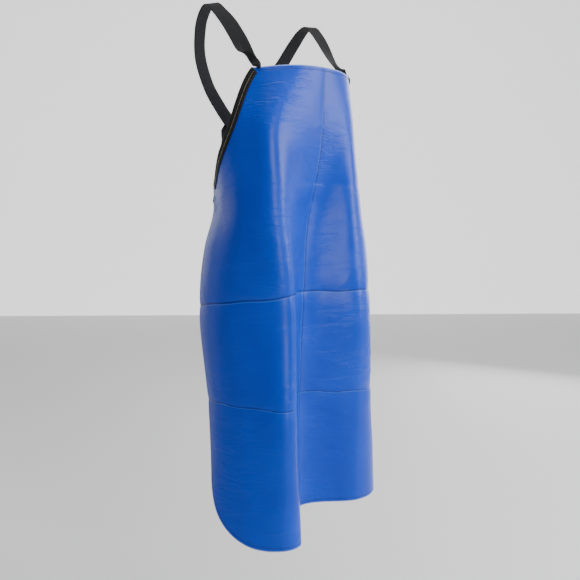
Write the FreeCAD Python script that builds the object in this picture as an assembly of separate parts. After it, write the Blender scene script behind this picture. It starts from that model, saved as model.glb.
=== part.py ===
import FreeCAD
import Part
import math
import os

V = FreeCAD.Vector

# A butcher apron as it hangs on a standing wearer, who is not part of the model.
# +Z is up, the wearer faces -Y and the wearer's right hand is on the -X side.
# The origin lies midway between the tops of the two shoulder straps.
# Places on the sheet are given on its flat pattern: s runs across it from the middle
# crease towards the wearer's left, t runs down it from the bib's top edge, and n stands
# off the sheet's middle layer, outwards from the wearer.

# ---- the flat pattern ----
APRON_LENGTH = 900.0
APRON_WIDTH = 680.0
BIB_WIDTH = 300.0
ARMHOLE_DROP = 215.0
CORNER_RADIUS = 120.0
FILM = 1.0
WAIST_ROUNDING = 16.0
PANEL_COLUMNS = 44
BINDING_SECTIONS = 26
ARMHOLE_BOW = 0.62
ARMHOLE_START = 0.8
ARMHOLE_END = 4.0

# ---- how the sheet hangs ----
BIB_TOP_Z = -123.0
TRUNK_Y = -15.0
BIB_HANG = 0.99
SKIRT_HANG = 0.951
TOP_BOW = 10.0
TOP_BOW_DEPTH = 250.0
TOP_BOW_LEVEL = 0.4
HEM_LIFT = 6.0
HEM_LIFT_SPREAD = 60.0
NORMAL_STEP = 1.5

# ---- webbing ----
WEBBING_WIDTH = 30.0
WEBBING = 1.2
BINDING_LEG = 13.0
SEWN_GAP = 0.3
BINDING_GAP = 0.4
FREE_GAP = 0.3
STRAP_CROSSING_GAP = 1.4
ROUND_BAR_GAP = 0.1
SIDE_GAP = 0.6
STRAP_START_RISE = 3.7
BINDING_SHORT = 6.0

# ---- waist tab and patch ----
TAB_BELOW_ARMHOLE = 23.0
TAB_SLANT = 36.0
TAB_SEWN_LENGTH = 36.0
PATCH_LENGTH = 50.0
PATCH_HEIGHT = 54.0
PATCH_ABOVE_TAB = 15.0
PATCH_EDGE = 5.0
PATCH = 0.8
TAB_LAYER_GAP = 0.2
TAB_FREE = 10.0

# ---- side release clip, measured up the strap from the waist corner ----
SOCKET_START = 22.0
SOCKET_LENGTH = 32.0
SOCKET_WALL = 1.7
SOCKET_SIDE = 2.6
SOCKET_SLOT = 5.5
PILLAR_LENGTH = 7.0
WINDOW_LENGTH = 11.4
CLIP_SIDE = 6.0
BAR = 4.0
PLUG_BASE = 10.0
PLUG_SLOT = 5.6
PLUG_SIDE = 3.6
PLUG_DEPTH = 5.2
TONGUE_WIDTH = 10.0
TONGUE_LENGTH = 18.0
TONGUE_THINNER = 1.4
ARM_GAP = 0.4
ARM_ROOT = 3.4
BARB_CLEAR = 0.8
NECK_CLEAR = 1.1
BARB_LENGTH = 4.0
SOCKET_END_WALL = 2.0
SOCKET_ROUNDING = 2.0
EDGE_ROUNDING = 1.2
RAIL_EXTRA = 0.8

# ---- slider ----
SLIDER_PLACE = 128.0
SLIDER_LENGTH = 20.0
SLIDER_BAR = 3.0
SLIDER_RAIL = 3.4
SLIDER_LOWER = 1.9
END_LOOP_LENGTH = 14.0
RUN_BELOW_SLIDER = 2.0
LENGTHS_GAP = 0.05

# ---- shapes of the sheet, level by level ----
# Each level is cut by nine points, from the wearer's right edge round the front to the
# left edge. The fifth is on the middle crease.
# The first group is spaced as shares of the armhole's drop, the second as shares of the
# length below it.
BIB_LEVELS = [
    (0.00, [(-176, -20), (-158, -62), (-128, -97), (-72, -136), (0, -148),
            (72, -136), (128, -97), (156, -62), (174, -20)]),
    (0.49, [(-168, 0), (-176, -50), (-163, -99), (-124, -146), (0, -143),
            (80, -146), (138, -99), (160, -50), (166, 0)]),
    (1.00, [(-140, 12), (-172, -55), (-172, -115), (-128, -160), (0, -124),
            (84, -150), (150, -109), (188, -46), (150, 12)]),
]
SKIRT_LEVELS = [
    (0.07, [(-140, 18), (-172, -50), (-178, -115), (-132, -166), (-4, -116),
            (84, -152), (152, -112), (190, -44), (150, 20)]),
    (0.17, [(-160, 26), (-186, -40), (-183, -112), (-132, -173), (-12, -113),
            (86, -158), (158, -120), (196, -45), (166, 28)]),
    (0.34, [(-172, 34), (-197, -35), (-186, -112), (-124, -178), (-20, -114),
            (90, -168), (166, -125), (202, -40), (185, 40)]),
    (0.65, [(-180, 4), (-204, -66), (-190, -135), (-134, -194), (-22, -104),
            (92, -165), (166, -135), (205, -50), (190, 30)]),
    (1.00, [(-215, -20), (-230, -95), (-198, -166), (-131, -203), (-14, -94),
            (90, -162), (164, -150), (212, -70), (200, 10)]),
]
MIDDLE = 4
STEPS = 24

# ---- the shoulder strap's line on the wearer's right, mirrored for the left ----
# place, outward direction, and width: it leaves the bib corner folded and opens out flat.
FOLDED_WIDTH = 13.0
STRAP_LINE = [
    ((-125, -84, -100), (-0.64, -0.72, 0.26), 17.0),
    ((-127, -62, -68), (-0.46, -0.70, 0.52), 26.0),
    ((-130, -41, -39), (-0.34, -0.64, 0.68), 30.0),
    ((-134, -20, -16), (-0.24, -0.44, 0.86), 30.0),
    ((-136, 0, 0), (-0.18, 0.02, 0.98), 30.0),
    ((-134, 20, -9), (-0.18, 0.52, 0.84), 30.0),
    ((-128, 42, -36), (-0.20, 0.80, 0.58), 30.0),
    ((-109, 67, -84), (-0.20, 0.92, 0.34), 30.0),
    ((-72, 88, -134), (-0.14, 0.98, 0.12), 30.0),
    ((-36, 97, -170), (-0.05, 1.00, 0.04), 30.0),
    ((-10, 99, -196), (0.00, 1.00, 0.00), 30.0),
    ((12, 99, -221), (0.00, 1.00, 0.00), 30.0),
]
STRAP_TOP = (27.0, 98.0, -246.0)
STRAPS_ON_BACK_Y = 85.0
TWIST_BOW = 1.5
STRAIGHT_SHORT = 4.0
PATH_STEPS = 4


def level_table():
    """Every level as (t, points), from the bib's top edge to the bottom hem."""
    rows = [(share * ARMHOLE_DROP, points) for share, points in BIB_LEVELS]
    below = APRON_LENGTH - ARMHOLE_DROP
    rows += [(ARMHOLE_DROP + share * below, points) for share, points in SKIRT_LEVELS]
    return rows


LEVELS = level_table()


def hermite(a, b, ma, mb, f):
    return (a * (2 * f**3 - 3 * f**2 + 1) + ma * (f**3 - 2 * f**2 + f)
            + b * (3 * f**2 - 2 * f**3) + mb * (f**3 - f**2))


def along(xs, ys, x):
    """Smooth curve through (xs, ys), with slopes weighted by the spacing."""
    gaps = [b - a for a, b in zip(xs, xs[1:])]
    slopes = [(ys[i + 1] - ys[i]) / g for i, g in enumerate(gaps)]
    ends = [slopes[0]]
    for i in range(1, len(gaps)):
        total = gaps[i] + gaps[i - 1]
        ends.append((slopes[i - 1] * gaps[i] + slopes[i] * gaps[i - 1]) / total)
    ends.append(slopes[-1])
    i = 0
    while i < len(gaps) - 1 and x > xs[i + 1]:
        i += 1
    f = (x - xs[i]) / gaps[i]
    return hermite(ys[i], ys[i + 1], ends[i] * gaps[i], ends[i + 1] * gaps[i], f)


def between(points, i, f):
    """A point on the smooth curve through the points, a share f past point i."""
    b, c = points[i], points[i + 1]
    a = points[i - 1] if i > 0 else [2 * u - v for u, v in zip(b, c)]
    d = points[i + 2] if i + 2 < len(points) else [2 * v - u for u, v in zip(b, c)]
    return [hermite(b[k], c[k], (c[k] - a[k]) / 2, (d[k] - b[k]) / 2, f) for k in range(len(b))]


SECTIONS = {}


def section(t):
    """The sheet's line round the wearer at t, and the distance of each point from the middle."""
    key = round(t, 4)
    if key not in SECTIONS:
        ts = [row[0] for row in LEVELS]
        knots = []
        for k in range(len(LEVELS[0][1])):
            x = along(ts, [row[1][k][0] for row in LEVELS], t)
            y = along(ts, [row[1][k][1] for row in LEVELS], t)
            knots.append((x, y))
        line = []
        for i in range(len(knots) - 1):
            line += [between(knots, i, j / STEPS) for j in range(STEPS)]
        line.append(knots[-1])
        run = [0.0]
        for a, b in zip(line, line[1:]):
            run.append(run[-1] + math.hypot(b[0] - a[0], b[1] - a[1]))
        middle = run[MIDDLE * STEPS]
        SECTIONS[key] = (line, [r - middle for r in run])
    return SECTIONS[key]


def half_width(t):
    """Half the pattern's width at t: bib, armhole curve, side and rounded corner."""
    half = APRON_WIDTH / 2
    bib = BIB_WIDTH / 2
    f = max(t, 0.0) / ARMHOLE_DROP
    rise = ARMHOLE_BOW * f**ARMHOLE_START + (1 - ARMHOLE_BOW) * f**ARMHOLE_END
    armhole = bib + (half - bib) * rise
    near = max(WAIST_ROUNDING - abs(armhole - half), 0.0) / WAIST_ROUNDING
    width = min(armhole, half) - near * near * WAIST_ROUNDING / 4
    past = t - (APRON_LENGTH - CORNER_RADIUS)
    if past > 0:
        width -= CORNER_RADIUS - math.sqrt(max(CORNER_RADIUS**2 - past**2, 0.0))
    return width


def middle_layer(s, t):
    """The hanging sheet's middle layer at (s, t)."""
    line, run = section(t)
    low, high = 0, len(run) - 2
    while low < high:
        mid = (low + high + 1) // 2
        if run[mid] <= s:
            low = mid
        else:
            high = mid - 1
    i = low
    f = (s - run[i]) / (run[i + 1] - run[i])
    x = line[i][0] + (line[i + 1][0] - line[i][0]) * f
    y = line[i][1] + (line[i + 1][1] - line[i][1]) * f
    z = BIB_TOP_Z - BIB_HANG * min(t, ARMHOLE_DROP) - SKIRT_HANG * max(t - ARMHOLE_DROP, 0.0)
    fade = max(0.0, 1 - t / TOP_BOW_DEPTH)
    z += TOP_BOW * fade * (math.cos(math.pi * s / BIB_WIDTH) - TOP_BOW_LEVEL)
    low_down = max(0.0, (t - ARMHOLE_DROP) / (APRON_LENGTH - ARMHOLE_DROP))
    z += HEM_LIFT * low_down**3 * 0.5 * (1 + math.tanh(s / HEM_LIFT_SPREAD))
    return V(x, y + TRUNK_Y, z)


def sheet(s, t, n=0.0):
    """The place n off the middle layer at (s, t)."""
    step = NORMAL_STEP
    across = middle_layer(s + step, t) - middle_layer(s - step, t)
    down = middle_layer(s, t + step) - middle_layer(s, t - step)
    out = down.cross(across)
    out.normalize()
    return middle_layer(s, t) + out * n


def surface(grid):
    face = Part.BSplineSurface()
    face.interpolate(grid)
    return face


def slab(outer, inner):
    """A closed solid between two grids of points with the same rows and columns."""
    faces = [surface(outer).toShape(), surface(inner).toShape()]
    top, bottom = faces
    rims = []
    for a in top.Edges:
        b = min(bottom.Edges, key=lambda e: (e.CenterOfMass - a.CenterOfMass).Length)
        rims.append(Part.makeRuledSurface(a, b))
    shell = Part.makeShell([top, bottom] + rims)
    shell.sewShape()
    solid = Part.makeSolid(shell)
    if solid.Volume < 0:
        solid.reverse()
    return solid


def ruled(a, b, c, d):
    """The face between the straight edges a-b and d-c."""
    return Part.makeRuledSurface(Part.makeLine(a, b), Part.makeLine(d, c))


def loft(sections):
    """A solid through the sections, each a line of points there and back on the far face."""
    faces = []
    count = len(sections[0])
    for near, far in zip(sections, sections[1:]):
        faces += [ruled(near[k - 1], near[k], far[k], far[k - 1]) for k in range(count)]
    for cap in (sections[0], sections[-1]):
        faces += [ruled(cap[k], cap[k + 1], cap[-2 - k], cap[-1 - k]) for k in range(count // 2 - 1)]
    shell = Part.makeShell(faces)
    shell.sewShape()
    solid = Part.makeSolid(shell)
    if solid.Volume < 0:
        solid.reverse()
    return solid


def unit(v):
    w = V(v)
    w.normalize()
    return w


def export(shape, name):
    if not shape.isValid() or shape.Volume <= 0:
        print("CHECK", name, shape.isValid(), shape.Volume)
    shape.exportStep("parts/" + name + ".step")
    print(name, round(shape.Volume), len(shape.Solids), len(shape.Faces))


# ---------------------------------------------------------------- the sheet
def pattern_rows():
    """Distances down the pattern, closer together where its outline turns."""
    armhole = [ARMHOLE_DROP * f for f in (0, 0.06, 0.14, 0.25, 0.37, 0.49, 0.61, 0.72, 0.82, 0.9, 0.96)]
    waist = [ARMHOLE_DROP + d for d in (0.0, 9.0, 22.0)]
    skirt_start = ARMHOLE_DROP + 45.0
    skirt_end = APRON_LENGTH - CORNER_RADIUS
    count = 11
    skirt = [skirt_start + (skirt_end - skirt_start) * i / count for i in range(count)]
    arc = [skirt_end + CORNER_RADIUS * math.sin(math.radians(a)) for a in range(0, 91, 10)]
    return armhole + waist + skirt + arc


def apron_panel():
    columns = PANEL_COLUMNS
    outer, inner = [], []
    for t in pattern_rows():
        half = half_width(t)
        row = [half * (2 * i / columns - 1) for i in range(columns + 1)]
        outer.append([sheet(s, t, FILM / 2) for s in row])
        inner.append([sheet(s, t, -FILM / 2) for s in row])
    return slab(outer, inner)


def waist_patch(side):
    """The backing piece sewn inside the waist corner, under the tab."""
    near = APRON_WIDTH / 2 - PATCH_EDGE
    far = near - PATCH_LENGTH
    start = ARMHOLE_DROP + TAB_BELOW_ARMHOLE - PATCH_ABOVE_TAB
    outer, inner = [], []
    for i in range(6):
        t = start + PATCH_HEIGHT * i / 5
        row = [side * (far + (near - far) * j / 6) for j in range(7)]
        top = -FILM / 2 - SEWN_GAP
        outer.append([sheet(s, t, top) for s in row])
        inner.append([sheet(s, t, top - PATCH) for s in row])
    return slab(outer, inner)


def armhole_frame(side, t):
    """The armhole edge at t, and the flat direction from it into the sheet."""
    step = 1.0
    ds = half_width(t + step) - half_width(t - step) if t > step else half_width(t + step) - half_width(t)
    dt = 2 * step if t > step else step
    length = math.hypot(ds, dt)
    return side * half_width(t), (-side * dt / length, ds / length)


def armhole_binding(side):
    """Webbing folded over the armhole edge and sewn through both legs."""
    inside = FILM / 2 + BINDING_GAP
    outside = inside + WEBBING
    leg = [(BINDING_LEG, 1), (BINDING_LEG / 2, 1), (0.0, 1)]
    outer = [(d, k * outside) for d, k in leg] + [(-SEWN_GAP - WEBBING, inside)]
    outer += [(d, -n) for d, n in outer[::-1]]
    inner = [(d, k * inside) for d, k in leg] + [(-SEWN_GAP, inside / 2)]
    inner += [(d, -n) for d, n in inner[::-1]]
    profile = outer + inner[::-1]
    sections = []
    last = ARMHOLE_DROP - BINDING_SHORT
    for i in range(BINDING_SECTIONS + 1):
        t = last * i / BINDING_SECTIONS
        edge, inward = armhole_frame(side, t)
        sections.append([sheet(edge + d * inward[0], t + d * inward[1], n) for d, n in profile])
    return loft(sections)


# ---------------------------------------------------------------- straps
CROSSING_LIFT = (WEBBING + STRAP_CROSSING_GAP) / 2
TAB_DEPTH = FILM / 2 + 2 * SEWN_GAP + PATCH + WEBBING + TAB_LAYER_GAP / 2
RUN_MIDDLE = WEBBING + ROUND_BAR_GAP + BAR / 2
RETURN_LOW = RUN_MIDDLE + BAR / 2 + ROUND_BAR_GAP
PLUG_START = SOCKET_START + SOCKET_LENGTH + FREE_GAP
BAR_PLACE = PLUG_START + PLUG_BASE + PLUG_SLOT + BAR / 2
CLIP_WIDTH = WEBBING_WIDTH + 2 * CLIP_SIDE
SLOT_WIDTH = WEBBING_WIDTH + 2 * SIDE_GAP
RUN_END = SLIDER_PLACE - SLIDER_LENGTH / 2 - RUN_BELOW_SLIDER


class Stretch:
    """The straight stretch of the back strap that carries the clip and the slider.

    Local x runs across the webbing, y up the strap from the waist corner, and z out
    from the wearer. The webbing's inner run lies between z = 0 and its thickness.
    """

    def __init__(self, side):
        anchor = sheet(side * APRON_WIDTH / 2, ARMHOLE_DROP + TAB_BELOW_ARMHOLE, -TAB_DEPTH)
        top = V(side * STRAP_TOP[0], STRAP_TOP[1] - side * CROSSING_LIFT, STRAP_TOP[2])
        self.start = anchor
        for _ in range(4):
            self.up = unit(top - self.start)
            middle = (top + self.start) * 0.5
            radial = V(middle.x, middle.y - TRUNK_Y, 0)
            self.out = unit(radial - self.up * radial.dot(self.up))
            self.start = anchor - self.out * RUN_MIDDLE
        self.length = (top - self.start).Length
        self.across = self.up.cross(self.out)
        self.matrix = FreeCAD.Matrix(
            self.across.x, self.up.x, self.out.x, self.start.x,
            self.across.y, self.up.y, self.out.y, self.start.y,
            self.across.z, self.up.z, self.out.z, self.start.z,
            0, 0, 0, 1)

    def at(self, x, y, z):
        return self.start + self.across * x + self.up * y + self.out * z

    def place(self, shape):
        moved = shape.copy()
        moved.transformShape(self.matrix)
        return moved




def ribbon_sections(line):
    """Rectangles square to a line of (place, outward direction, width, thickness)."""
    sections = []
    for i, (place, out, width, thick) in enumerate(line):
        before = line[max(i - 1, 0)][0]
        after = line[min(i + 1, len(line) - 1)][0]
        ahead = unit(after - before)
        normal = unit(out - ahead * out.dot(ahead))
        side = ahead.cross(normal)
        half = side * (width / 2)
        rise = normal * (thick / 2)
        sections.append([place - half - rise, place + half - rise,
                         place + half + rise, place - half + rise])
    return sections


def shoulder_strap(side):
    """From the bib corner over the shoulder and across the back, through the other side's slider."""
    stretch = Stretch(-side)
    edge = side * (BIB_WIDTH / 2 - FOLDED_WIDTH / 2 - 0.5)
    corner = sheet(edge, 0.0) + V(0, 0, STRAP_START_RISE)
    corner_out = unit(sheet(edge, 0.0, 1.0) - sheet(edge, 0.0))
    cross_lift = side * CROSSING_LIFT
    knots = [(corner.x, corner.y, corner.z, corner_out.x, corner_out.y, corner_out.z, FOLDED_WIDTH)]
    for place, out, width in STRAP_LINE:
        lift = cross_lift if place[1] > STRAPS_ON_BACK_Y else 0.0
        knots.append((-side * place[0], place[1] + lift, place[2], -side * out[0], out[1], out[2], width))
    line = []
    for i in range(len(knots) - 1):
        for j in range(PATH_STEPS):
            x, y, z, a, b, c, width = between(knots, i, j / PATH_STEPS)
            fold = max(0.0, min(1.0, (WEBBING_WIDTH - width) / (WEBBING_WIDTH - FOLDED_WIDTH)))
            thick = WEBBING * (1 + fold)
            line.append((V(x, y, z), V(a, b, c), min(width, WEBBING_WIDTH), thick))
    x, y, z = [knots[-1][k] for k in range(3)]
    last = V(x, y, z)
    joint = stretch.at(0, stretch.length, WEBBING / 2)
    for f in (0.0, 0.25, 0.5, 0.75):
        bow = V(0, TWIST_BOW * math.sin(math.pi * f), 0)
        out = V(0, 1, 0) * (1 - f) + stretch.out * f
        line.append((last * (1 - f) + joint * f + bow, out, WEBBING_WIDTH, WEBBING))
    curved = ribbon_sections(line)
    half = WEBBING_WIDTH / 2
    corners = ((-half, 0), (half, 0), (half, WEBBING), (-half, WEBBING))
    straight = [[stretch.at(x, y, z) for x, z in corners]
                for y in (stretch.length - STRAIGHT_SHORT, RUN_END)]
    turned = straight if curved[-1][0].distanceToPoint(straight[0][0]) < curved[-1][0].distanceToPoint(
        straight[0][1]) else [[p[1], p[0], p[3], p[2]] for p in straight]
    return loft(curved + turned)


def half_ring(inner_radius, width, y, z, upwards):
    """Webbing turned half round a bar."""
    outer = Part.makeCylinder(inner_radius + WEBBING, width, V(-width / 2, y, z), V(1, 0, 0))
    hole = Part.makeCylinder(inner_radius, width, V(-width / 2, y, z), V(1, 0, 0))
    ring = outer.cut(hole)
    reach = inner_radius + WEBBING + 1
    start = y if upwards else y - reach
    return ring.common(Part.makeBox(width, reach, 2 * reach, V(-width / 2, start, z - reach)))


def strap_return(side):
    """The webbing from the slider down to the plug's bar, round it and back up."""
    radius = BAR / 2 + ROUND_BAR_GAP
    shape = half_ring(radius, WEBBING_WIDTH, BAR_PLACE, RUN_MIDDLE, False)
    for end, z in ((RUN_END - LENGTHS_GAP, 0.0), (SLIDER_PLACE - END_LOOP_LENGTH, RETURN_LOW)):
        run = Part.makeBox(WEBBING_WIDTH, end - BAR_PLACE, WEBBING, V(-WEBBING_WIDTH / 2, BAR_PLACE, z))
        shape = shape.fuse(run)
    return Stretch(side).place(shape.removeSplitter())


SLIDER_RISE = WEBBING + FREE_GAP + WEBBING + ROUND_BAR_GAP
SLIDER_BAR_DEPTH = RETURN_LOW - ROUND_BAR_GAP - SLIDER_RISE


def strap_end_loop(side):
    """The webbing's end, folded round the slider's middle bar."""
    radius = SLIDER_BAR_DEPTH / 2 + ROUND_BAR_GAP
    middle = SLIDER_RISE + SLIDER_BAR_DEPTH / 2
    start = SLIDER_PLACE - END_LOOP_LENGTH + LENGTHS_GAP
    turn_y = SLIDER_PLACE + SLIDER_BAR / 2 - SLIDER_BAR_DEPTH / 2
    shape = half_ring(radius, WEBBING_WIDTH, turn_y, middle, True)
    for z in (middle + radius, middle - radius - WEBBING):
        leg = Part.makeBox(WEBBING_WIDTH, turn_y - start, WEBBING, V(-WEBBING_WIDTH / 2, start, z))
        shape = shape.fuse(leg)
    return Stretch(side).place(shape.removeSplitter())


def band(places, outs):
    """The outline of webbing whose middle passes through the places."""
    pairs = list(zip(places, outs))
    inner = [p - out * (WEBBING / 2) for p, out in pairs]
    outer = [p + out * (WEBBING / 2) for p, out in pairs]
    return inner + outer[::-1]


def waist_tab(side):
    """Doubled webbing sewn inside the waist corner and looped through the socket's bar."""
    stretch = Stretch(side)
    slant = math.radians(TAB_SLANT)
    across = [WEBBING_WIDTH * share for share in (-0.5, -0.17, 0.17, 0.5)]

    def sewn(distance, depth, way):
        places, outs = [], []
        for x in across:
            s = side * (APRON_WIDTH / 2 - distance * math.cos(slant) + side * x * math.sin(slant))
            t = ARMHOLE_DROP + TAB_BELOW_ARMHOLE + distance * math.sin(slant) + side * x * math.cos(slant)
            places.append(sheet(s, t, -depth))
            outs.append(unit(sheet(s, t, 1.0) - sheet(s, t)) * way)
        return band(places, outs)

    outer_layer = TAB_DEPTH - (WEBBING + TAB_LAYER_GAP) / 2
    inner_layer = TAB_DEPTH + (WEBBING + TAB_LAYER_GAP) / 2
    steps = [TAB_SEWN_LENGTH, TAB_SEWN_LENGTH * 2 / 3, TAB_SEWN_LENGTH / 3, 0.0, -TAB_FREE]
    sections = [sewn(d, inner_layer, 1) for d in steps]
    bar_y = SOCKET_START + BAR / 2
    reach = BAR / 2 + ROUND_BAR_GAP + WEBBING / 2
    turn = [(bar_y - BAR, -90)] + [(bar_y, a) for a in range(-90, 91, 30)] + [(bar_y - BAR, 90)]
    for y, degrees in turn:
        angle = math.radians(degrees)
        out = stretch.up * -math.cos(angle) - stretch.out * math.sin(angle)
        places = [stretch.at(x, y + reach * math.cos(angle), RUN_MIDDLE + reach * math.sin(angle))
                  for x in across]
        sections.append(band(places, [out] * len(across)))
    sections += [sewn(d, outer_layer, -1) for d in reversed(steps)]
    return loft(sections)


# ---------------------------------------------------------------- clip
def rounded(length_x, length_y, length_z, corner, radius, edges):
    """A box with rounded edges along the named axes."""
    box = Part.makeBox(length_x, length_y, length_z, corner)
    picked = []
    for edge in box.Edges:
        direction = edge.tangentAt(edge.FirstParameter)
        axis = max(range(3), key=lambda k: abs(direction[k]))
        if "xyz"[axis] in edges:
            picked.append(edge)
    return box.makeFillet(radius, picked)


SOCKET_DEPTH = PLUG_DEPTH + 2 * FREE_GAP + 2 * SOCKET_WALL
MOUTH = SOCKET_START + SOCKET_LENGTH
CAVITY_WIDTH = CLIP_WIDTH - 2 * SOCKET_SIDE


def clip_socket(side):
    """The clip half on the waist tab: bar, slot, cavity open at the mouth, two side windows."""
    low = RUN_MIDDLE - SOCKET_DEPTH / 2
    body = rounded(CLIP_WIDTH, SOCKET_LENGTH, SOCKET_DEPTH,
                   V(-CLIP_WIDTH / 2, SOCKET_START, low), SOCKET_ROUNDING, "xy")
    rail = BAR + RAIL_EXTRA
    shave = Part.makeBox(CLIP_WIDTH + 2, BAR + SOCKET_SLOT, SOCKET_DEPTH,
                         V(-CLIP_WIDTH / 2 - 1, SOCKET_START - 1, RUN_MIDDLE + rail / 2))
    body = body.cut(shave)
    body = body.cut(shave.translated(V(0, 0, -SOCKET_DEPTH - rail)))
    slot = Part.makeBox(SLOT_WIDTH, SOCKET_SLOT + BAR + 1, 3 * SOCKET_DEPTH,
                        V(-SLOT_WIDTH / 2, SOCKET_START - 1, RUN_MIDDLE - 1.5 * SOCKET_DEPTH))
    body = body.cut(slot)
    bar = Part.makeCylinder(BAR / 2, SLOT_WIDTH + 2,
                            V(-SLOT_WIDTH / 2 - 1, SOCKET_START + BAR / 2, RUN_MIDDLE),
                            V(1, 0, 0))
    body = body.fuse(bar)
    cavity_start = SOCKET_START + BAR + SOCKET_SLOT + SOCKET_END_WALL
    depth = PLUG_DEPTH + 2 * FREE_GAP
    cavity = Part.makeBox(CAVITY_WIDTH, MOUTH - cavity_start + 1, depth,
                          V(-CAVITY_WIDTH / 2, cavity_start, RUN_MIDDLE - depth / 2))
    body = body.cut(cavity)
    window_top = MOUTH - PILLAR_LENGTH
    window = Part.makeBox(CLIP_WIDTH + 2, WINDOW_LENGTH, depth,
                          V(-CLIP_WIDTH / 2 - 1, window_top - WINDOW_LENGTH, RUN_MIDDLE - depth / 2))
    return Stretch(side).place(body.cut(window).removeSplitter())


def clip_plug(side):
    """The clip half on the strap: base, slot and bar for the webbing, and the guide tongue."""
    width = SLOT_WIDTH + 2 * PLUG_SIDE
    length = PLUG_BASE + PLUG_SLOT + BAR
    low = RUN_MIDDLE - PLUG_DEPTH / 2
    frame = rounded(width, length, PLUG_DEPTH, V(-width / 2, PLUG_START, low), EDGE_ROUNDING, "xyz")
    slot_start = PLUG_START + PLUG_BASE
    opening = Part.makeBox(SLOT_WIDTH, PLUG_SLOT + BAR + 1, 3 * PLUG_DEPTH,
                           V(-SLOT_WIDTH / 2, slot_start, low - PLUG_DEPTH))
    frame = frame.cut(opening)
    bar = Part.makeCylinder(BAR / 2, SLOT_WIDTH + 2,
                            V(-SLOT_WIDTH / 2 - 1, BAR_PLACE, RUN_MIDDLE), V(1, 0, 0))
    depth = PLUG_DEPTH - TONGUE_THINNER
    tongue = rounded(TONGUE_WIDTH, TONGUE_LENGTH + 2, depth,
                     V(-TONGUE_WIDTH / 2, PLUG_START - TONGUE_LENGTH, RUN_MIDDLE - depth / 2), EDGE_ROUNDING, "z")
    return Stretch(side).place(frame.fuse(bar).fuse(tongue).removeSplitter())


ARM_PIVOT = (12.5, PLUG_START - 2 * ARM_GAP)


def latch_arm(side, hand):
    """One sprung arm of the plug; its barb stands in the socket's side window."""
    shoulder = MOUTH - PILLAR_LENGTH - ARM_GAP
    tip = MOUTH - PILLAR_LENGTH - WINDOW_LENGTH + 2.5 * ARM_GAP
    root = PLUG_START - ARM_GAP
    barb = CLIP_WIDTH / 2 - BARB_CLEAR
    neck = CAVITY_WIDTH / 2 - NECK_CLEAR
    inner = ARM_PIVOT[0] - ARM_ROOT / 2
    outline = [(inner, root), (inner + ARM_ROOT, root), (neck, root - ARM_ROOT), (neck, shoulder),
               (barb, shoulder), (barb, shoulder - BARB_LENGTH), (neck - 1.0, tip), (inner + ARM_ROOT / 2, tip),
               (inner, shoulder)]
    points = [V(hand * x, y, RUN_MIDDLE - PLUG_DEPTH / 2 + FREE_GAP) for x, y in outline]
    face = Part.Face(Part.makePolygon(points + [points[0]]))
    arm = face.extrude(V(0, 0, PLUG_DEPTH - 2 * FREE_GAP))
    return Stretch(side).place(arm)


# ---------------------------------------------------------------- slider
def strap_slider(side):
    """Two rails, two bars under the webbing and a raised middle bar that holds its end."""
    inner = SLOT_WIDTH / 2
    low = -FREE_GAP - SLIDER_LOWER
    high = SLIDER_RISE + SLIDER_BAR_DEPTH
    start = SLIDER_PLACE - SLIDER_LENGTH / 2
    width = 2 * (inner + SLIDER_RAIL)
    block = rounded(width, SLIDER_LENGTH, high - low, V(-width / 2, start, low), EDGE_ROUNDING, "xyz")
    tall = 3 * (high - low)
    well = Part.makeBox(2 * inner, SLIDER_LENGTH + 2, tall, V(-inner, start - 1, -FREE_GAP))
    block = block.cut(well)
    hole = Part.makeBox(2 * inner, SLIDER_LENGTH - 2 * SLIDER_BAR, tall,
                        V(-inner, start + SLIDER_BAR, -tall / 2))
    block = block.cut(hole)
    bar = rounded(2 * inner + 1.0, SLIDER_BAR, SLIDER_BAR_DEPTH,
                  V(-inner - 0.5, SLIDER_PLACE - SLIDER_BAR / 2, SLIDER_RISE), 1.0, "x")
    return Stretch(side).place(block.fuse(bar).removeSplitter())


# ---------------------------------------------------------------- output
os.makedirs("parts", exist_ok=True)
export(apron_panel(), "apron_panel")
for name, side in (("right", -1), ("left", 1)):
    export(armhole_binding(side), "armhole_binding_" + name)
    export(shoulder_strap(side), "shoulder_strap_" + name)
    export(waist_patch(side), "waist_patch_" + name)
    export(waist_tab(side), "waist_tab_" + name)
    export(clip_socket(side), "clip_socket_" + name)
    export(clip_plug(side), "clip_plug_" + name)
    export(latch_arm(side, -side), "latch_arm_" + name + "_upper")
    export(latch_arm(side, side), "latch_arm_" + name + "_lower")
    export(strap_return(side), "strap_return_" + name)
    export(strap_end_loop(side), "strap_end_loop_" + name)
    export(strap_slider(side), "strap_slider_" + name)
    stretch = Stretch(side)
    pivot_upper = stretch.at(-side * ARM_PIVOT[0], ARM_PIVOT[1], RUN_MIDDLE)
    pivot_lower = stretch.at(side * ARM_PIVOT[0], ARM_PIVOT[1], RUN_MIDDLE)
    print("JOINT", name, "up", tuple(stretch.up), "out", tuple(stretch.out))
    print("JOINT", name, "pivots", tuple(pivot_upper), tuple(pivot_lower), "length", stretch.length)
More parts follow.
